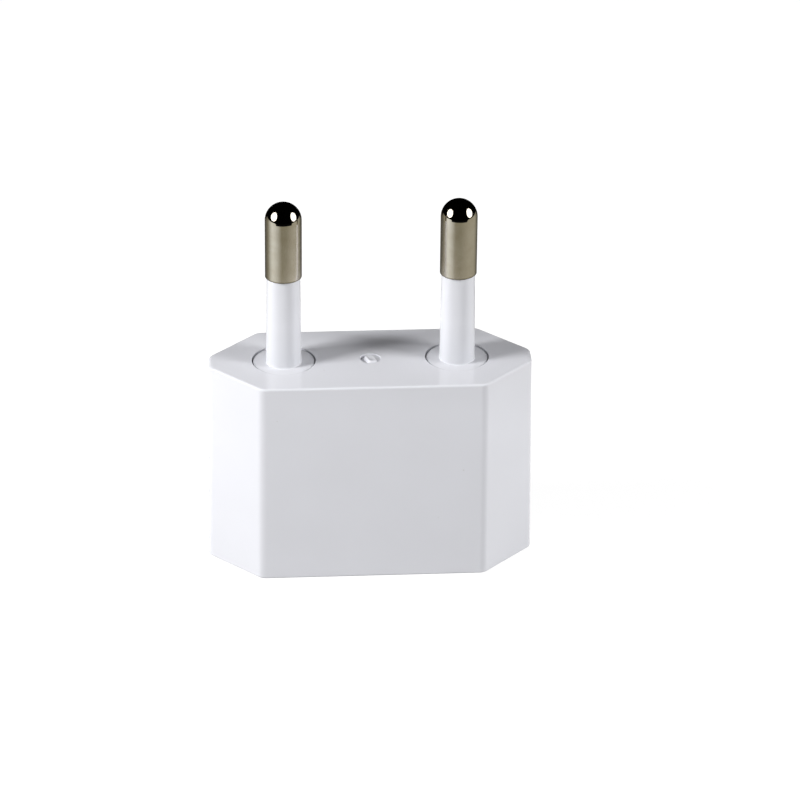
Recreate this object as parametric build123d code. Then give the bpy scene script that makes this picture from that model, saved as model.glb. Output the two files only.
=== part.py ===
from build123d import *
import math
import os

# Plug adapter: a hexagonal moulded body, two round sleeved pins on its upper face and a
# socket for two flat blades in its lower face. Millimetres. +Z runs up along the pins, X along
# the row of pins, and the origin is the middle of the socket face, on which the adapter stands.

# Body, measured at the pin face
face_width = 35.3
face_depth = 13.7
end_flat = 2.8
body_height = 23.45
draft_angle = 0.75
wall = 1.8
pin_wall = 2.4
upright_edge_radius = 1.2
face_edge_radius = 0.25
mouth_edge_radius = 0.2

# Moulding gate mark in the middle of the pin face
dimple_diameter = 2.3
dimple_depth = 0.22
dimple_tilt = 5.5
nub_diameter = 1.0
nub_height = 0.14
gate_draft = 3.0

# Pins, with lengths above the pin face
pin_pitch = 19.0
pin_diameter = 4.0
pin_length = 19.0
sleeve_length = 10.3
sleeve_end_diameter = 3.64
sleeve_foot_diameter = 3.9
neck_diameter = 2.6
tail_diameter = 2.2
rivet_diameter = 3.0
rivet_height = 0.7
collar_diameter = 5.0
collar_thickness = 1.0

# Bush that carries each sleeve in the pin face
bush_diameter = 6.7
bush_gap = 0.15
bush_recess = 0.1
bush_edge = 0.1
shoulder_diameter = 9.0
shoulder_thickness = 2.0
shoulder_gap = 0.1
ring_wall = 0.7
ring_height = 1.2

# Socket cover and the insulating block behind it
cover_recess = 0.3
cover_thickness = 2.0
cover_gap = 0.1
lip = 1.0
lip_corner_radius = 0.7
block_gap = 0.2
block_wall = 1.0

# Blade slots
blade_pitch = 12.7
slot_width = 2.0
slot_length = 8.2
slot_corner_radius = 0.3
slot_lead_in = 0.5

# Contact strips
strip_thickness = 0.5
strip_bend = 0.8
strip_gap = 0.2
strip_bearing = 0.5
plate_width = 8.4
leaf_width = 4.4
inner_leaf_offset = 2.15
pinch_gap = 0.9
pinch_rise = 4.5
mouth_rise = 1.5
mouth_flare = 1.0
knee_drop = 3.0

# Heights and places that follow from the sizes above
ceiling = body_height - pin_wall
bush_foot = ceiling - shoulder_thickness
block_top = bush_foot - strip_thickness
ledge = cover_recess + cover_thickness
bush_top = body_height - bush_recess
sleeve_top = body_height + sleeve_length
tip_top = body_height + pin_length
pin_x = pin_pitch / 2
blade_x = blade_pitch / 2
block_inset = wall + block_gap
pocket_inset = block_inset + block_wall
inner_leaf_x = blade_x - inner_leaf_offset
outer_leaf_x = pin_x + rivet_diameter / 2 + strip_gap + strip_bend
pocket_start = inner_leaf_x - strip_thickness / 2 - strip_gap
pocket_end = outer_leaf_x + strip_thickness / 2 + strip_gap
sides = {"left": -1, "right": 1}


def growth(z, inset):
    """How far the outline at height z lies outside the pin face's own outline."""
    return (body_height - z) * math.tan(math.radians(draft_angle)) - inset


def outline(z, inset=0.0):
    """Plan outline of the body at height z, moved inwards by inset: a rectangle with cut corners."""
    across = Rectangle(face_width + 2 * growth(z, inset), face_depth + 2 * growth(z, inset))
    diamond_side = (face_width + end_flat) / math.sqrt(2) + 2 * growth(z, inset)
    return across & Rectangle(diamond_side, diamond_side, rotation=45)


def prism(bottom, top, inset=0.0, radius=0.0):
    """Drafted block between two heights, its sides moved in by inset and its upright edges rounded."""
    foot = Pos(0, 0, bottom) * outline(bottom, inset)
    block = extrude(foot, top - bottom, taper=draft_angle)
    if radius > 0:
        uprights = [e for e in block.edges() if e.bounding_box().size.Z > (top - bottom) / 2]
        block = fillet(uprights, min(radius, end_flat))
    return block


def gate_mark():
    """The hollow of the gate mark: a dimple, deeper on its left, round the stub that the gate leaves."""
    slope = math.tan(math.radians(gate_draft))
    headroom = dimple_diameter / 2
    nub_rise = nub_height - dimple_depth
    edge = Polyline(
        (0, nub_rise),
        (0, headroom),
        (dimple_diameter / 2 + headroom * slope, headroom),
        (dimple_diameter / 2 - dimple_depth * slope, -dimple_depth),
        (nub_diameter / 2, -dimple_depth),
        (nub_diameter / 2 - nub_height * slope, nub_rise),
        close=True,
    )
    return Pos(0, 0, body_height) * Rot(0, -dimple_tilt, 0) * revolve(make_face(Plane.XZ * edge), Axis.Z)


def make_housing():
    """One moulded tub: drafted walls, two pin holes with seat rings, open mouth with a ledge for the cover."""
    body = prism(0, body_height, radius=upright_edge_radius)
    body = fillet(body.edges().group_by(Axis.Z)[-1], face_edge_radius)
    body = fillet(body.edges().group_by(Axis.Z)[0], mouth_edge_radius)
    body -= prism(0, ledge, lip, lip_corner_radius)
    body -= gate_mark()
    hole_radius = bush_diameter / 2 + bush_gap
    seat_radius = shoulder_diameter / 2 + shoulder_gap
    upward = (Align.CENTER, Align.CENTER, Align.MIN)
    downward = (Align.CENTER, Align.CENTER, Align.MAX)
    cavity = prism(ledge, ceiling, wall)
    for side in sides.values():
        cavity -= Pos(side * pin_x, 0, ceiling) * Cylinder(seat_radius + ring_wall, ring_height, align=downward)
    body -= cavity
    for side in sides.values():
        body -= Pos(side * pin_x, 0, ceiling) * Cylinder(seat_radius, shoulder_thickness, align=downward)
        body -= Pos(side * pin_x, 0, ceiling) * Cylinder(hole_radius, pin_wall, align=upward)
    return body


def contact_pocket():
    """Plan of the right contact's pocket: open under the plate's bearing edges and round the leaves."""
    length = pocket_end - pocket_start
    middle = Pos((pocket_start + pocket_end) / 2, 0)
    under_plate = middle * Rectangle(length, plate_width - 2 * strip_bearing)
    round_leaves = middle * Rectangle(length, leaf_width + 2 * strip_gap)
    return (under_plate & outline(block_top, pocket_inset)) + round_leaves


def make_socket_cover():
    """Cover plate with two blade slots, and the block on its back that pockets and parts the contacts."""
    plate = prism(cover_recess, ledge, lip + cover_gap, lip_corner_radius - cover_gap)
    cover = plate + prism(ledge, block_top, block_inset)
    hollow = outline(block_top, pocket_inset) & Rectangle(2 * (pocket_start - block_wall), face_depth)
    hollow += [contact_pocket(), Rot(0, 0, 180) * contact_pocket()]
    cover -= extrude(Pos(0, 0, ledge) * hollow, block_top - ledge)
    for side in sides.values():
        slot = RectangleRounded(slot_width, slot_length, slot_corner_radius)
        mouth = offset(slot, slot_lead_in)
        place = Pos(side * blade_x, 0, cover_recess)
        cover -= place * extrude(slot, cover_thickness)
        cover -= place * extrude(mouth, slot_lead_in, taper=45)
    return cover


def make_pin():
    """Turned pin on the Z axis: round tip, thinner neck under the sleeve, collar and riveted tail."""
    tip, neck = pin_diameter / 2, neck_diameter / 2
    collar, tail, rivet = collar_diameter / 2, tail_diameter / 2, rivet_diameter / 2
    collar_top = bush_foot + collar_thickness
    rivet_foot = block_top - rivet_height
    stem = Polyline(
        (0, tip_top),
        (0, rivet_foot),
        (tail, rivet_foot),
        (rivet, block_top),
        (tail, block_top),
        (tail, bush_foot),
        (collar, bush_foot),
        (collar, collar_top),
        (neck, collar_top),
        (neck, sleeve_top),
        (tip, sleeve_top),
        (tip, tip_top - tip),
    )
    edge = stem + TangentArc((0, tip_top), (tip, tip_top - tip), tangent=(1, 0))
    return revolve(make_face(Plane.XZ * edge), Axis.Z)


def make_sleeve():
    """Insulating sleeve on the Z axis, wider at its foot, moulded on the pin in one piece with its stepped bush."""
    end, foot = sleeve_end_diameter / 2, sleeve_foot_diameter / 2
    bush, shoulder = bush_diameter / 2, shoulder_diameter / 2
    collar, neck = collar_diameter / 2, neck_diameter / 2
    collar_top = bush_foot + collar_thickness
    edge = Polyline(
        (collar, bush_foot),
        (shoulder, bush_foot),
        (shoulder, ceiling),
        (bush, ceiling),
        (bush, bush_top - bush_edge),
        (bush - bush_edge, bush_top),
        (foot, bush_top),
        (end, sleeve_top),
        (neck, sleeve_top),
        (neck, collar_top),
        (collar, collar_top),
        close=True,
    )
    return revolve(make_face(Plane.XZ * edge), Axis.Z)


def make_contact():
    """Sheet contact of the right pole: a riveted plate with two leaves that pinch the blade."""
    plate_mid = block_top + strip_thickness / 2
    knee = plate_mid - knee_drop
    pinch = ledge + pinch_rise
    mouth = ledge + mouth_rise
    pinch_half = (pinch_gap + strip_thickness) / 2
    mouth_half = pinch_half + mouth_flare
    run = FilletPolyline(
        (blade_x - mouth_half, mouth),
        (blade_x - pinch_half, pinch),
        (inner_leaf_x, knee),
        (inner_leaf_x, plate_mid),
        (outer_leaf_x, plate_mid),
        (outer_leaf_x, knee),
        (blade_x + pinch_half, pinch),
        (blade_x + mouth_half, mouth),
        radius=strip_bend,
    )
    strip = extrude(Plane.XZ * trace(run, strip_thickness), leaf_width / 2, both=True)
    plate_length = outer_leaf_x - inner_leaf_x - 2 * strip_bend
    plate = Pos((inner_leaf_x + outer_leaf_x) / 2, 0) * Rectangle(plate_length, plate_width)
    plate = extrude(Pos(0, 0, block_top) * (plate & outline(block_top, block_inset)), strip_thickness)
    hole = Cylinder(tail_diameter / 2, strip_thickness, align=(Align.CENTER, Align.CENTER, Align.MIN))
    return strip + plate - Pos(pin_x, 0, block_top) * hole


def main():
    os.makedirs("parts", exist_ok=True)
    export_step(make_housing(), "parts/housing.step")
    export_step(make_socket_cover(), "parts/socket_cover.step")
    for name, side in sides.items():
        place = Pos(side * pin_x, 0, 0)
        export_step(place * make_pin(), f"parts/pin_{name}.step")
        export_step(place * make_sleeve(), f"parts/pin_sleeve_{name}.step")
    contact = make_contact()
    export_step(contact, "parts/contact_right.step")
    export_step(Rot(0, 0, 180) * contact, "parts/contact_left.step")


main()
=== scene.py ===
import math

import bpy
import numpy as np
from mathutils import Matrix, Quaternion, Vector


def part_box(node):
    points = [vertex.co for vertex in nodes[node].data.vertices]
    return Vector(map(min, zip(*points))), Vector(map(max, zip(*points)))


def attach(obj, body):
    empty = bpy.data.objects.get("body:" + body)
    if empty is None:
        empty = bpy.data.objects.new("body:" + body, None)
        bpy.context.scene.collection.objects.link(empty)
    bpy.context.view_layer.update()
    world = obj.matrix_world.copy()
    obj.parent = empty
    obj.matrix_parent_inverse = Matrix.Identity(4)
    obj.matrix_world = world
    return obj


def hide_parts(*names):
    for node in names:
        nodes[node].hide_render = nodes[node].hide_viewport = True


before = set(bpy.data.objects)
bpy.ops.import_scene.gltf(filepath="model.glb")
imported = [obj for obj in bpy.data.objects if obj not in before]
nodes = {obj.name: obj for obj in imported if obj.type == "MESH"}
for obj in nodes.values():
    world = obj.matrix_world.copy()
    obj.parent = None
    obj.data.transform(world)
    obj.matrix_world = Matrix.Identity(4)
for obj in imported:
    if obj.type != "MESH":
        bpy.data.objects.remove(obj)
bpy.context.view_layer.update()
mm = 0.001
sides = ("left", "right")
print("frame loaded:", ", ".join(sorted(nodes)))


# Lowest and highest corner of a solid node, in mm
def boxInMm(name):
    return [np.array(corner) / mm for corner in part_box(name)]


# surfaces

# Profile corners (radius, height) in mm with a rounding for each. A corner becomes an arc tangent to both
# its edges, and each straight run gets a point just inside either end, so that shading stays on the arc.
# Such a point lies at most mostOfRun of the run's length from its corner.
def roundedProfile(corners, roundings, closed, arcSteps=6, hold=0.03, mostOfRun=0.45):
    corners = np.array(corners, float)
    count = len(corners)
    points = []
    for i in range(count):
        here, rounding = corners[i], roundings[i]
        if not closed and i in (0, count - 1):
            points.append(here[None])
            continue
        back = corners[i - 1] - here
        ahead = corners[(i + 1) % count] - here
        backLength, aheadLength = np.linalg.norm(back), np.linalg.norm(ahead)
        back, ahead = back / backLength, ahead / aheadLength
        half = math.acos(np.clip(back @ ahead, -1, 1)) / 2
        reach = rounding / math.tan(half)
        middle = here + (back + ahead) / np.linalg.norm(back + ahead) * rounding / math.sin(half)
        start, end = here + back * reach - middle, here + ahead * reach - middle
        turn = np.linspace(0, 1, arcSteps)[:, None] * (math.pi - 2 * half)
        arc = (np.sin(math.pi - 2 * half - turn) * start + np.sin(turn) * end) / math.sin(2 * half) + middle
        before = here + back * min(reach + hold, backLength * mostOfRun)
        after = here + ahead * min(reach + hold, aheadLength * mostOfRun)
        points += [before[None], arc, after[None]]
    return np.concatenate(points)


# Surface of revolution: profile point (r, z) at angle a lies at (x + r cos a, y + r sin a, z).
# An open profile runs from pole to pole and is closed by fans there; a closed one makes a ring.
def latheMesh(name, profile, place, closed, steps=128):
    angles = np.linspace(0, 2 * math.pi, steps, endpoint=False)
    rings = profile if closed else profile[1:-1]
    rows = len(rings)
    grid = np.empty((rows, steps, 3))
    grid[..., 0] = place[0] + rings[:, :1] * np.cos(angles)
    grid[..., 1] = place[1] + rings[:, :1] * np.sin(angles)
    grid[..., 2] = rings[:, 1:]
    index = np.arange(rows * steps).reshape(rows, steps)
    lower = index if closed else index[:-1]
    upper = np.roll(index, -1, axis=0) if closed else index[1:]
    quads = np.stack([lower, np.roll(lower, -1, 1), np.roll(upper, -1, 1), upper], -1).reshape(-1, 4)
    faces = quads.tolist()
    points = grid.reshape(-1, 3)
    if not closed:
        poles = np.array([[*place[:2], profile[0, 1]], [*place[:2], profile[-1, 1]]])
        points = np.concatenate([points, poles])
        foot, top = len(points) - 2, len(points) - 1
        faces += np.stack([np.full(steps, foot), np.roll(index[0], -1), index[0]], -1).tolist()
        faces += np.stack([np.full(steps, top), index[-1], np.roll(index[-1], -1)], -1).tolist()
    return finishPiece(name, points * mm, faces)


def finishPiece(name, points, faces):
    mesh = bpy.data.meshes.new(name)
    mesh.from_pydata(points.tolist(), [], faces)
    mesh.polygons.foreach_set("use_smooth", np.ones(len(mesh.polygons), bool))
    mesh.update()
    piece = bpy.data.objects.new(name, mesh)
    bpy.context.scene.collection.objects.link(piece)
    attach(piece, "root")
    return piece


# shader helpers

def shaderNode(tree, kind, inputs=None, **settings):
    made = tree.nodes.new(kind)
    for key, value in settings.items():
        setattr(made, key, value)
    for key, value in (inputs or {}).items():
        if isinstance(value, bpy.types.NodeSocket):
            tree.links.new(value, made.inputs[key])
        else:
            made.inputs[key].default_value = value
    return made


def mathNode(tree, operation, first, second=0.0):
    return shaderNode(tree, "ShaderNodeMath", {0: first, 1: second}, operation=operation).outputs[0]


def mapRange(tree, value, low, high, toLow=0.0, toHigh=1.0):
    inputs = {"Value": value, "From Min": low, "From Max": high, "To Min": toLow, "To Max": toHigh}
    return shaderNode(tree, "ShaderNodeMapRange", inputs).outputs["Result"]


def mixColour(tree, factor, first, second):
    made = shaderNode(tree, "ShaderNodeMix", data_type="RGBA")
    for key, value in ((0, factor), (6, first), (7, second)):
        if isinstance(value, bpy.types.NodeSocket):
            tree.links.new(value, made.inputs[key])
        else:
            made.inputs[key].default_value = value
    return made.outputs[2]


# Object coordinates in millimetres, so that pattern sizes below are real ones
def coordinatesInMm(tree):
    place = shaderNode(tree, "ShaderNodeTexCoord").outputs["Object"]
    return shaderNode(tree, "ShaderNodeVectorMath", {0: place, "Scale": 1 / mm}, operation="SCALE").outputs[0]


def noiseField(tree, place, size, detail=2.0, rough=0.5):
    scale = mathNode(tree, "DIVIDE", 1.0, size)
    inputs = {"Vector": place, "Scale": scale, "Detail": detail, "Roughness": rough}
    return shaderNode(tree, "ShaderNodeTexNoise", inputs).outputs["Fac"]


def newGroup(name, inputs, outputs):
    tree = bpy.data.node_groups.new(name, "ShaderNodeTree")
    for label, value in inputs.items():
        kind = "NodeSocketVector" if isinstance(value, tuple) else "NodeSocketFloat"
        tree.interface.new_socket(label, in_out="INPUT", socket_type=kind).default_value = value
    for label in outputs:
        tree.interface.new_socket(label, in_out="OUTPUT", socket_type="NodeSocketFloat")
    return tree, shaderNode(tree, "NodeGroupInput").outputs, shaderNode(tree, "NodeGroupOutput").inputs


# Skin of a moulding: fine grain left by the tool, and the slow waviness of shrinkage
def makeMouldedSkin():
    tree, given, made = newGroup("mouldedSkin", {"Grain Size": 0.3, "Wave Size": 6.0}, ("Grain", "Waves"))
    place = coordinatesInMm(tree)
    tree.links.new(noiseField(tree, place, given["Grain Size"], 3.0), made["Grain"])
    tree.links.new(noiseField(tree, place, given["Wave Size"], 1.0), made["Waves"])
    return tree


handlingPattern = {
    "scratchAxis": (0.3, 0.8, 0.5), "stretch": 0.12, "hairline": 0.006, "scratchPatches": (0.52, 0.66),
    "smudgeDetail": 5.0, "smudgeRough": 0.6, "smudgeRange": (0.4, 0.7),
    "speckEdge": (0.02, 0.05), "speckChoice": 0.72,
}


# Marks of use: hairline scratches where a stretched noise crosses its middle value, smudges, and specks
def makeHandling():
    pattern = handlingPattern
    inputs = {"Scratch Length": 9.0, "Scratch Turn": 0.6, "Smudge Size": 7.0, "Speck Spacing": 2.5}
    tree, given, made = newGroup("handling", inputs, ("Scratches", "Smudges", "Specks"))
    place = coordinatesInMm(tree)
    turned = shaderNode(tree, "ShaderNodeVectorRotate",
                        {"Vector": place, "Axis": pattern["scratchAxis"], "Angle": given["Scratch Turn"]})
    stretched = shaderNode(tree, "ShaderNodeVectorMath",
                           {0: turned.outputs[0], 1: (pattern["stretch"], 1.0, 1.0)}, operation="MULTIPLY")
    width = mathNode(tree, "MULTIPLY", given["Scratch Length"], pattern["stretch"])
    field = noiseField(tree, stretched.outputs[0], width, 2.0)
    off = mathNode(tree, "ABSOLUTE", mathNode(tree, "SUBTRACT", field, 0.5))
    hairline = mapRange(tree, off, 0.0, pattern["hairline"], 1.0, 0.0)
    patches = noiseField(tree, place, given["Scratch Length"], 1.0)
    patches = mapRange(tree, patches, *pattern["scratchPatches"])
    tree.links.new(mathNode(tree, "MULTIPLY", hairline, patches), made["Scratches"])
    smudge = noiseField(tree, place, given["Smudge Size"], pattern["smudgeDetail"], pattern["smudgeRough"])
    tree.links.new(mapRange(tree, smudge, *pattern["smudgeRange"]), made["Smudges"])
    spacing = mathNode(tree, "DIVIDE", 1.0, given["Speck Spacing"])
    cells = shaderNode(tree, "ShaderNodeTexVoronoi", {"Vector": place, "Scale": spacing})
    dot = mapRange(tree, cells.outputs["Distance"], *pattern["speckEdge"], 1.0, 0.0)
    chosen = shaderNode(tree, "ShaderNodeSeparateColor", {0: cells.outputs["Color"]}).outputs[0]
    chosen = mathNode(tree, "GREATER_THAN", chosen, pattern["speckChoice"])
    tree.links.new(mathNode(tree, "MULTIPLY", dot, chosen), made["Specks"])
    return tree


toolPattern = {"driftSize": 1.5, "drift": 0.15, "lineDetail": 4.0, "bandDetail": 2.0, "bandScale": 0.12}


# Tool lines: one-dimensional noise along a direction, as turning or rolling leaves on metal, and broader bands
def makeToolLines():
    pattern = toolPattern
    inputs = {"Direction": (0.0, 0.0, 1.0), "Pitch": 0.12}
    tree, given, made = newGroup("toolLines", inputs, ("Lines", "Bands"))
    place = coordinatesInMm(tree)
    along = shaderNode(tree, "ShaderNodeVectorMath", {0: place, 1: given["Direction"]},
                       operation="DOT_PRODUCT").outputs["Value"]
    drift = mathNode(tree, "MULTIPLY", noiseField(tree, place, pattern["driftSize"], 1.0), pattern["drift"])
    along = mathNode(tree, "ADD", along, drift)
    fine = mathNode(tree, "DIVIDE", 1.0, given["Pitch"])
    broad = mathNode(tree, "MULTIPLY", fine, pattern["bandScale"])
    layers = (("Lines", fine, pattern["lineDetail"]), ("Bands", broad, pattern["bandDetail"]))
    for label, scale, detail in layers:
        noise = shaderNode(tree, "ShaderNodeTexNoise", {"W": along, "Scale": scale, "Detail": detail},
                           noise_dimensions="1D")
        tree.links.new(noise.outputs["Fac"], made[label])
    return tree


mouldedSkin = makeMouldedSkin()
handling = makeHandling()
toolLines = makeToolLines()
print("shader groups made")


def newMaterial(name):
    material = bpy.data.materials.new(name)
    material.use_nodes = True
    tree = material.node_tree
    return material, tree, tree.nodes["Principled BSDF"]


def placeGroup(tree, group, **values):
    made = shaderNode(tree, "ShaderNodeGroup", node_tree=group)
    for key, value in values.items():
        made.inputs[key].default_value = value
    return made.outputs


# Heights are (value, amplitude in mm) pairs, added up into one bump
def addBump(tree, shader, heights):
    total = 0.0
    for value, amplitude in heights:
        total = mathNode(tree, "ADD", total, mathNode(tree, "MULTIPLY", value, amplitude))
    bump = shaderNode(tree, "ShaderNodeBump", {"Height": total, "Strength": 1.0, "Distance": mm})
    tree.links.new(bump.outputs[0], shader.inputs["Normal"])


# plastics

shellFinish = {
    "pale": (0.79, 0.795, 0.84, 1), "shade": (0.755, 0.76, 0.80, 1), "dust": (0.60, 0.59, 0.57, 1),
    "gloss": 0.45, "rough": 0.035, "smudgeRough": 0.03, "scratchRough": 0.22,
    "grainSize": 0.28, "grainHeight": 0.0006, "waveSize": 7.0, "waveHeight": 0.010, "scratchDepth": 0.002,
    "speckStrength": 0.5, "ior": 1.5,
}
coverFinish = dict(shellFinish, pale=(0.765, 0.77, 0.81, 1), gloss=0.26, rough=0.30,
                   grainSize=0.16, grainHeight=0.004)
# the sleeve's dark colour near the pin face is painted shade at its foot
sleeveFinish = dict(shellFinish, pale=(0.77, 0.775, 0.815, 1), gloss=0.26, rough=0.17, grainSize=0.2,
                    waveSize=3.0, waveHeight=0.004, paintedShade=(0.665, 0.675, 0.71, 1),
                    paintedShadeStart=-0.05, paintedShadeDarkest=0.1, paintedShadeEnd=5.0)    # heights over the pin face


def plasticMaterial(name, finish):
    material, tree, shader = newMaterial(name)
    sizes = {"Grain Size": finish["grainSize"], "Wave Size": finish["waveSize"]}
    skin = placeGroup(tree, mouldedSkin, **sizes)
    marks = placeGroup(tree, handling)
    colour = mixColour(tree, skin["Waves"], finish["pale"], finish["shade"])
    specks = mathNode(tree, "MULTIPLY", marks["Specks"], finish["speckStrength"])
    colour = mixColour(tree, specks, colour, finish["dust"])
    if "paintedShade" in finish:    # painted shade, darkest at the foot of a wall that stands on the pin face
        height = shaderNode(tree, "ShaderNodeSeparateXYZ", {0: coordinatesInMm(tree)}).outputs["Z"]
        face = boxInMm("housing")[1][2]
        begin, darkest, end = (face + finish[key] for key in ("paintedShadeStart", "paintedShadeDarkest", "paintedShadeEnd"))
        shadeMask = mapRange(tree, height, darkest, end, 1.0, 0.0)
        shadeMask = mathNode(tree, "MULTIPLY", shadeMask, mapRange(tree, height, begin, darkest))
        colour = mixColour(tree, shadeMask, colour, finish["paintedShade"])
    tree.links.new(colour, shader.inputs["Base Color"])
    rough = mathNode(tree, "MULTIPLY", marks["Smudges"], finish["smudgeRough"])
    scratched = mathNode(tree, "MULTIPLY", marks["Scratches"], finish["scratchRough"])
    rough = mathNode(tree, "ADD", rough, scratched)
    tree.links.new(mathNode(tree, "ADD", rough, finish["rough"]), shader.inputs["Roughness"])
    addBump(tree, shader, [(skin["Grain"], finish["grainHeight"]), (skin["Waves"], finish["waveHeight"]),
                           (marks["Scratches"], -finish["scratchDepth"])])
    shader.inputs["IOR"].default_value = finish["ior"]
    shader.inputs["Specular IOR Level"].default_value = finish["gloss"]
    return material


shellPlastic = plasticMaterial("shellPlastic", shellFinish)
coverPlastic = plasticMaterial("coverPlastic", coverFinish)
sleevePlastic = plasticMaterial("sleevePlastic", sleeveFinish)

# metals

nickelFinish = {
    "bright": (0.67, 0.62, 0.54, 1), "tarnish": (0.54, 0.48, 0.38, 1), "rough": 0.19, "lineRough": 0.04,
    "scratchRough": 0.06, "pitch": 0.10, "lineHeight": 0.0001, "direction": (0.0, 0.0, 1.0),
    # the dark colour at the joint is painted shade along the metal's lower rim
    "scratchDepth": 0.0003, "paintedShade": (0.14, 0.12, 0.09, 1), "paintedShadeWidth": 0.2,
    "polishedTip": 2.0, "polishFade": 0.4, "polishedRough": 0.22,
}
bronzeFinish = {
    "bright": (0.66, 0.42, 0.20, 1), "tarnish": (0.34, 0.20, 0.10, 1), "rough": 0.26, "lineRough": 0.12,
    "scratchRough": 0.2, "pitch": 0.16, "lineHeight": 0.0012, "direction": (0.0, 1.0, 0.0),
    "scratchDepth": 0.0008,
}
# Marks on both metals: their sizes in mm, and how far each takes the colour towards tarnish
metalMarks = {
    "scratchLength": 3.0, "smudgeSize": 1.8, "speckSpacing": 0.7,
    "smudges": 0.45, "bands": 0.25, "specks": 0.4,
}


def metalMaterial(name, finish):
    material, tree, shader = newMaterial(name)
    lines = placeGroup(tree, toolLines, Direction=finish["direction"], Pitch=finish["pitch"])
    worn = metalMarks
    sizes = {"Scratch Length": worn["scratchLength"], "Smudge Size": worn["smudgeSize"],
             "Speck Spacing": worn["speckSpacing"]}
    marks = placeGroup(tree, handling, **sizes)
    dulled = mathNode(tree, "MULTIPLY", marks["Smudges"], worn["smudges"])
    dulled = mathNode(tree, "ADD", dulled, mathNode(tree, "MULTIPLY", lines["Bands"], worn["bands"]))
    dulled = mathNode(tree, "ADD", dulled, mathNode(tree, "MULTIPLY", marks["Specks"], worn["specks"]))
    colour = mixColour(tree, dulled, finish["bright"], finish["tarnish"])
    height = shaderNode(tree, "ShaderNodeSeparateXYZ", {0: coordinatesInMm(tree)}).outputs["Z"]
    if "paintedShade" in finish:    # painted shade: a dark line where the metal meets the sleeve
        joint = boxInMm("pin_sleeve_left")[1][2]
        off = mathNode(tree, "ABSOLUTE", mathNode(tree, "SUBTRACT", height, joint))
        shadeMask = mapRange(tree, off, 0.0, finish["paintedShadeWidth"], 1.0, 0.0)
        colour = mixColour(tree, shadeMask, colour, finish["paintedShade"])
    tree.links.new(colour, shader.inputs["Base Color"])
    rough = mathNode(tree, "MULTIPLY", lines["Lines"], finish["lineRough"])
    scratched = mathNode(tree, "MULTIPLY", marks["Scratches"], finish["scratchRough"])
    rough = mathNode(tree, "ADD", rough, scratched)
    rough = mathNode(tree, "ADD", rough, finish["rough"])
    if "polishedTip" in finish:    # the dome is smoother than the flank
        tipFoot = boxInMm("pin_left")[1][2] - finish["polishedTip"]
        fadeFoot = tipFoot - finish["polishFade"]
        polish = mapRange(tree, height, fadeFoot, tipFoot, 1.0, finish["polishedRough"])
        rough = mathNode(tree, "MULTIPLY", rough, polish)
    tree.links.new(rough, shader.inputs["Roughness"])
    shader.inputs["Metallic"].default_value = 1.0
    addBump(tree, shader, [(lines["Lines"], finish["lineHeight"]),
                           (marks["Scratches"], -finish["scratchDepth"])])
    return material


pinNickel = metalMaterial("pinNickel", nickelFinish)
contactBronze = metalMaterial("contactBronze", bronzeFinish)
print("materials made")

# pins and sleeves

pinSizes = {
    "tip": 2.0, "neck": 1.3, "tail": 1.1, "rivet": 1.5, "rivetHeight": 0.7, "collarHeight": 1.0,
    "edge": 0.03, "domeSteps": 40,
}
sleeveSizes = {
    "end": 1.82, "foot": 1.95, "bush": 3.35, "shoulderHeight": 2.0, "bushRecess": 0.1,
    "rimEdge": 0.08, "endEdge": 0.1, "footRounding": 0.05,
    "seatEdge": 0.05, "shoulderEdge": 0.1, "boreEdge": 0.03,
}


def makePin(side):
    size = pinSizes
    low, high = boxInMm("pin_" + side)
    bushFoot, sleeveTop = (corner[2] for corner in boxInMm("pin_sleeve_" + side))
    tip, neck, tail, collar = size["tip"], size["neck"], size["tail"], (high[0] - low[0]) / 2
    plateFoot = low[2] + size["rivetHeight"]
    collarTop = bushFoot + size["collarHeight"]
    domeFoot = high[2] - tip
    corners = [
        (0, low[2]), (tail, low[2]), (size["rivet"], plateFoot), (tail, plateFoot), (tail, bushFoot),
        (collar, bushFoot), (collar, collarTop), (neck, collarTop), (neck, sleeveTop),
        (tip, sleeveTop), (tip, domeFoot),
    ]
    # the hidden edges are half as round as the rim over the sleeve
    stem = roundedProfile(corners, [0] + [size["edge"] / 2] * 8 + [size["edge"], 0], False)
    # domed tip: a quarter turn from the flank to the axis
    turn = np.linspace(0, math.pi / 2, size["domeSteps"])[1:]
    dome = np.stack([tip * np.cos(turn), domeFoot + tip * np.sin(turn)], -1)
    profile = np.concatenate([stem, dome])
    profile[-1, 0] = 0
    pin = latheMesh("turnedPin_" + side, profile, (low + high) / 2, False)
    pin.data.materials.append(pinNickel)
    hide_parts("pin_" + side)


def makeSleeve(side):
    size = sleeveSizes
    low, high = boxInMm("pin_sleeve_" + side)
    pinLow, pinHigh = boxInMm("pin_" + side)
    shoulder, collar, neck = (high[0] - low[0]) / 2, (pinHigh[0] - pinLow[0]) / 2, pinSizes["neck"]
    ceiling = low[2] + size["shoulderHeight"]
    bushTop = boxInMm("housing")[1][2] - size["bushRecess"]
    collarTop = low[2] + pinSizes["collarHeight"]
    corners = [
        (collar, low[2]), (shoulder, low[2]), (shoulder, ceiling), (size["bush"], ceiling),
        (size["bush"], bushTop), (size["foot"], bushTop), (size["end"], high[2]), (neck, high[2]),
        (neck, collarTop), (collar, collarTop),
    ]
    roundings = [size["seatEdge"], size["shoulderEdge"], size["shoulderEdge"], size["seatEdge"],
                 size["rimEdge"], size["footRounding"], size["endEdge"]] + [size["boreEdge"]] * 3
    profile = roundedProfile(corners, roundings, True)
    sleeve = latheMesh("bushedSleeve_" + side, profile, (low + high) / 2, True)
    sleeve.data.materials.append(sleevePlastic)
    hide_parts("pin_sleeve_" + side)


for side in sides:
    makePin(side)
    makeSleeve(side)
print("pins and sleeves turned")

# gate stub in the dimple of the pin face

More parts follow.
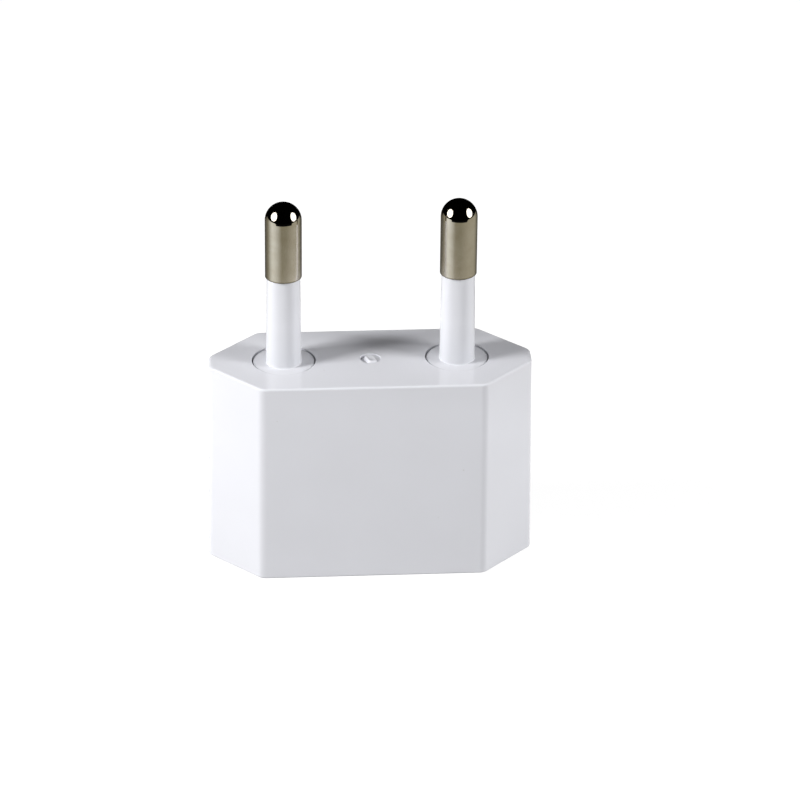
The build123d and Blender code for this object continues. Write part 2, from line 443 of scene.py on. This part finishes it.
stubSizes = {
    "width": 0.62, "length": 1.0, "turn": 19.0, "lip": 0.12, "fall": 0.055, "highSide": 3.25,
    "flank": 0.22, "spread": 0.2, "hollow": 0.06, "dimpleDepth": 0.22, "dimpleTilt": 5.5, "sunk": 0.02,
    "square": 4.0, "ripples": ((0.04, 3, 0.6), (0.02, 5, -1.1)), "steps": 96, "rows": 41,
}


# Torn stub on a polar grid. Its radius shrinks from foot to middle inside a squarish oval (the power "square"
# in place of an ellipse's 2) that is turned on the face. Ripples (size, count, shift) make the outline wavy.
# Height climbs a flank from the dimple's tilted floor to a lip and sinks to a hollow. Round the stub, the lip
# falls and the flank steepens with the cosine of the angle from the high side.
def makeGateStub():
    size = stubSizes
    face = boxInMm("housing")[1][2]
    turn = np.linspace(0, 2 * math.pi, size["steps"], endpoint=False)
    inwards = np.linspace(0, 1, size["rows"])[:, None]
    power = size["square"]
    wave = 1 + sum(swell * np.cos(count * turn + shift) for swell, count, shift in size["ripples"])
    wave /= (np.abs(np.cos(turn)) ** power + np.abs(np.sin(turn)) ** power) ** (1 / power)
    across = (1 - inwards) * size["width"] * wave * np.cos(turn)
    along = (1 - inwards) * size["length"] * wave * np.sin(turn)
    lean = math.radians(size["turn"])
    x = across * math.cos(lean) - along * math.sin(lean)
    y = across * math.sin(lean) + along * math.cos(lean)
    floor = face - size["dimpleDepth"] - size["sunk"] + x * math.tan(math.radians(size["dimpleTilt"]))
    facing = (1 + np.cos(turn + lean - size["highSide"])) / 2
    lip = face + size["lip"] - 2 * size["fall"] * (1 - facing)
    flank = size["flank"] + size["spread"] * facing
    climb = np.clip(inwards / flank, 0, 1)
    climb = climb * climb * (3 - 2 * climb)
    sink = np.clip((inwards - flank) / (1 - flank), 0, 1)
    height = (floor + (lip - floor) * climb) * (1 - sink) + (face - size["hollow"]) * sink
    points = np.stack([x, y, height], -1)
    rows, steps = inwards.shape[0] - 1, len(turn)
    index = np.arange(rows * steps).reshape(rows, steps)
    lower, upper = index[:-1], index[1:]
    faces = np.stack([lower, np.roll(lower, -1, 1), np.roll(upper, -1, 1), upper], -1).reshape(-1, 4).tolist()
    top, foot = index.size, index.size + 1
    faces += np.stack([np.full(steps, top), index[-1], np.roll(index[-1], -1)], -1).tolist()
    faces += np.stack([np.full(steps, foot), np.roll(index[0], -1), index[0]], -1).tolist()
    poles = np.array([[0, 0, face - size["hollow"]], [0, 0, face - size["dimpleDepth"] - size["sunk"]]])
    stub = finishPiece("gateStub", np.concatenate([points[:-1].reshape(-1, 3), poles]) * mm, faces)
    stub.data.materials.append(shellPlastic)


makeGateStub()
print("gate stub made")

finishes = {"housing": shellPlastic, "socket_cover": coverPlastic,
            "contact_left": contactBronze, "contact_right": contactBronze}
for name, material in finishes.items():
    for slot in nodes[name].material_slots:
        slot.material = material
print("solid nodes dressed")

# studio

studio = {
    "target": (0, 0, 0.022), "floorSize": 3.0, "floorColour": (0.28, 0.28, 0.28, 1), "floorGlow": 0.86,
    "ambient": 0.15, "tentRadius": 1.2, "tentColour": (0.003, 0.003, 0.003, 1),
    "tableHole": 0.05, "tableFade": 0.062, "tableEdge": 0.148, "tableSideEdge": 0.7, "tableLift": 0.0003,
    # the table colours are painted light and shade on a ring seen only in gloss
    "tableFront": (0.30, 0.285, 0.215, 1), "tableLeft": (0.92, 0.955, 0.94, 1),
    "tableRight": (0.46, 0.445, 0.37, 1), "tableBack": (0.12, 0.115, 0.10, 1),
    "paleWay": (0.30, -0.22), "leftWay": (-0.35, -0.95), "rightWay": (0.2, 0.9), "backWay": (0.25, 0.7),
    "sideWay": (0.74, 0.82), "edgeFade": 0.97, "paintRough": 0.9, "ringSteps": 64, "tentRows": 17,
}
# Each lamp lights from its size, and its panel is the box face that gloss shows
lamps = {
    "leftBox": {"from": (-0.87, -0.27, 0.42), "distance": 0.27, "size": (0.09, 0.19), "power": 0.90,
                "panelFrom": (-0.84, -0.22, 0.49), "panel": (0.19, 0.23), "panelTurn": 48},
    "rightBox": {"from": (0.85, -0.391, 0.36), "distance": 0.38, "size": (0.13, 0.26), "power": 1.13,
                 "panelFrom": (0.87, -0.22, 0.435), "panel": (0.265, 0.325), "panelTurn": -48},
}
boxGlow = 3.0


def stagePiece(name, points, faces, material, onlyInGloss=True):
    mesh = bpy.data.meshes.new(name)
    mesh.from_pydata(np.asarray(points).tolist(), [], faces)
    mesh.materials.append(material)
    piece = bpy.data.objects.new(name, mesh)
    bpy.context.scene.collection.objects.link(piece)
    if onlyInGloss:
        piece.visible_camera = piece.visible_diffuse = piece.visible_shadow = False
        piece.visible_transmission = piece.visible_volume_scatter = False
    return piece


def stagePaint(name, colour, glow=0.0):
    material, tree, shader = newMaterial(name)
    shader.inputs["Base Color"].default_value = colour
    shader.inputs["Roughness"].default_value = studio["paintRough"]
    shader.inputs["Specular IOR Level"].default_value = 0.0
    shader.inputs["Emission Color"].default_value = (1, 1, 1, 1)
    shader.inputs["Emission Strength"].default_value = glow
    return material, tree, shader


# 1 for rays from the camera, or seen in gloss or through glass
def seenDirectly(tree):
    path = shaderNode(tree, "ShaderNodeLightPath").outputs
    seen = mathNode(tree, "MAXIMUM", path["Is Camera Ray"], path["Is Glossy Ray"])
    return mathNode(tree, "MAXIMUM", seen, path["Is Transmission Ray"])


def placeFrom(direction, distance):
    towards = Vector(direction).normalized()
    return Vector(studio["target"]) + towards * distance, towards.to_track_quat("Z", "Y")


boxCloth = stagePaint("boxCloth", (0, 0, 0, 1), boxGlow)[0]
ringTurn = np.linspace(0, 2 * math.pi, studio["ringSteps"], endpoint=False)
for name, lamp in lamps.items():
    light = bpy.data.lights.new(name, "AREA")
    light.shape = "ELLIPSE"
    light.size, light.size_y = lamp["size"]
    light.energy = lamp["power"]
    box = bpy.data.objects.new(name, light)
    middle, facing = placeFrom(lamp["from"], lamp["distance"])
    box.location = middle
    box.rotation_euler = facing.to_euler()
    box.visible_camera = box.visible_glossy = False
    bpy.context.scene.collection.objects.link(box)
    # ellipse: middle + half width cos t across + half height sin t up
    middle, facing = placeFrom(lamp["panelFrom"], lamp["distance"])
    facing = facing @ Quaternion((0, 0, 1), math.radians(lamp["panelTurn"]))
    across, up = (np.array(facing @ Vector(axis)) for axis in ((1, 0, 0), (0, 1, 0)))
    halfWidth, halfHeight = np.array(lamp["panel"]) / 2
    rim = np.outer(np.cos(ringTurn) * halfWidth, across) + np.outer(np.sin(ringTurn) * halfHeight, up)
    stagePiece(name + "Face", rim + np.array(middle), [list(range(len(ringTurn)))], boxCloth)

floorPaint, tree, shader = stagePaint("floorPaint", studio["floorColour"])
glow = mathNode(tree, "MULTIPLY", seenDirectly(tree), studio["floorGlow"])
tree.links.new(glow, shader.inputs["Emission Strength"])
half = studio["floorSize"] / 2
corners = [(-half, -half, 0), (half, -half, 0), (half, half, 0), (-half, half, 0)]
stagePiece("floor", corners, [(0, 1, 2, 3)], floorPaint, onlyInGloss=False)

# Dark room over the floor, seen only in gloss: a painted dark reflection. A hemisphere, point (r cos e cos a,
# r cos e sin a, r sin e)
rise = np.linspace(0, math.pi / 2, studio["tentRows"])[:-1]
turn, rise = np.meshgrid(ringTurn, rise)
dome = np.stack([np.cos(rise) * np.cos(turn), np.cos(rise) * np.sin(turn), np.sin(rise)], -1)
index = np.arange(dome[..., 0].size).reshape(turn.shape)
quads = np.stack([index[:-1], index[1:], np.roll(index[1:], -1, 1), np.roll(index[:-1], -1, 1)], -1)
faces = quads.reshape(-1, 4).tolist() + [index[-1].tolist()]
tentPaint = stagePaint("tentPaint", studio["tentColour"])[0]
stagePiece("darkTent", dome.reshape(-1, 3) * studio["tentRadius"], faces, tentPaint)

# Table round the adapter, seen only in gloss: a flat glowing ring whose colours are painted light and shade,
# palest to the left front, dark behind and beyond its edge, long to the sides. A way is the direction from the
# middle, as X or Y of a unit arrow, and a pair of them says where a colour starts and where it is full.
paintedTableLight, tree, shader = stagePaint("paintedTableLight", (0, 0, 0, 1), 1.0)
place = shaderNode(tree, "ShaderNodeTexCoord").outputs["Object"]
away = shaderNode(tree, "ShaderNodeVectorMath", {0: place}, operation="LENGTH").outputs["Value"]
way = shaderNode(tree, "ShaderNodeVectorMath", {0: place}, operation="NORMALIZE").outputs[0]
way = shaderNode(tree, "ShaderNodeSeparateXYZ", {0: way}).outputs
pale = mapRange(tree, way["Y"], *studio["paleWay"])
pale = mathNode(tree, "MULTIPLY", pale, mapRange(tree, way["X"], *studio["leftWay"]))
colour = mixColour(tree, pale, studio["tableFront"], studio["tableLeft"])
colour = mixColour(tree, mapRange(tree, way["X"], *studio["rightWay"]), colour, studio["tableRight"])
colour = mixColour(tree, mapRange(tree, way["Y"], *studio["backWay"]), colour, studio["tableBack"])
fade = mapRange(tree, away, studio["tableHole"], studio["tableFade"])
colour = mixColour(tree, fade, (1, 1, 1, 1), colour)
sideways = mathNode(tree, "ABSOLUTE", way["X"])
reach = mapRange(tree, sideways, *studio["sideWay"], studio["tableEdge"], studio["tableSideEdge"])
beyond = mapRange(tree, mathNode(tree, "DIVIDE", away, reach), studio["edgeFade"], 1.0)
colour = mixColour(tree, beyond, colour, studio["tentColour"])
tree.links.new(colour, shader.inputs["Emission Color"])
ring = np.stack([np.cos(ringTurn), np.sin(ringTurn)], -1)
points = np.concatenate([ring * studio["tableHole"], ring * studio["tentRadius"]])
points = np.concatenate([points, np.full((len(points), 1), studio["tableLift"])], 1)
index = np.arange(len(points)).reshape(2, -1)
quads = np.stack([index[0], index[1], np.roll(index[1], -1), np.roll(index[0], -1)], -1)
stagePiece("paintedTableGlow", points, quads.tolist(), paintedTableLight)

world = bpy.data.worlds.new("studioAir")
bpy.context.scene.world = world
world.use_nodes = True
tree = world.node_tree
strength = mapRange(tree, seenDirectly(tree), 0.0, 1.0, studio["ambient"], 1.0)
tree.links.new(strength, tree.nodes["Background"].inputs["Strength"])
tree.nodes["Background"].inputs["Color"].default_value = (1, 1, 1, 1)
print("studio lit")

# camera

view = {
    "lens": 200, "sensor": 36, "clipStart": 0.01, "place": (-0.0276, -0.431, 0.24835),
    "yaw": -4.10, "pitch": -28.044, "roll": -0.57,
}
lens = bpy.data.cameras.new("camera")
lens.lens, lens.sensor_width = view["lens"], view["sensor"]
lens.clip_start = view["clipStart"]
camera = bpy.data.objects.new("camera", lens)
turns = [Matrix.Rotation(math.radians(view[key]), 4, axis)
         for key, axis in (("yaw", "Z"), ("pitch", "X"), ("roll", "Y"))]
level = Matrix.Rotation(math.pi / 2, 4, "X")    # a new camera looks down; this makes it look along +Y
camera.matrix_world = Matrix.Translation(view["place"]) @ turns[0] @ turns[1] @ turns[2] @ level
bpy.context.scene.collection.objects.link(camera)
bpy.context.scene.camera = camera
bpy.context.scene.view_settings.view_transform = "Standard"
print("camera placed")
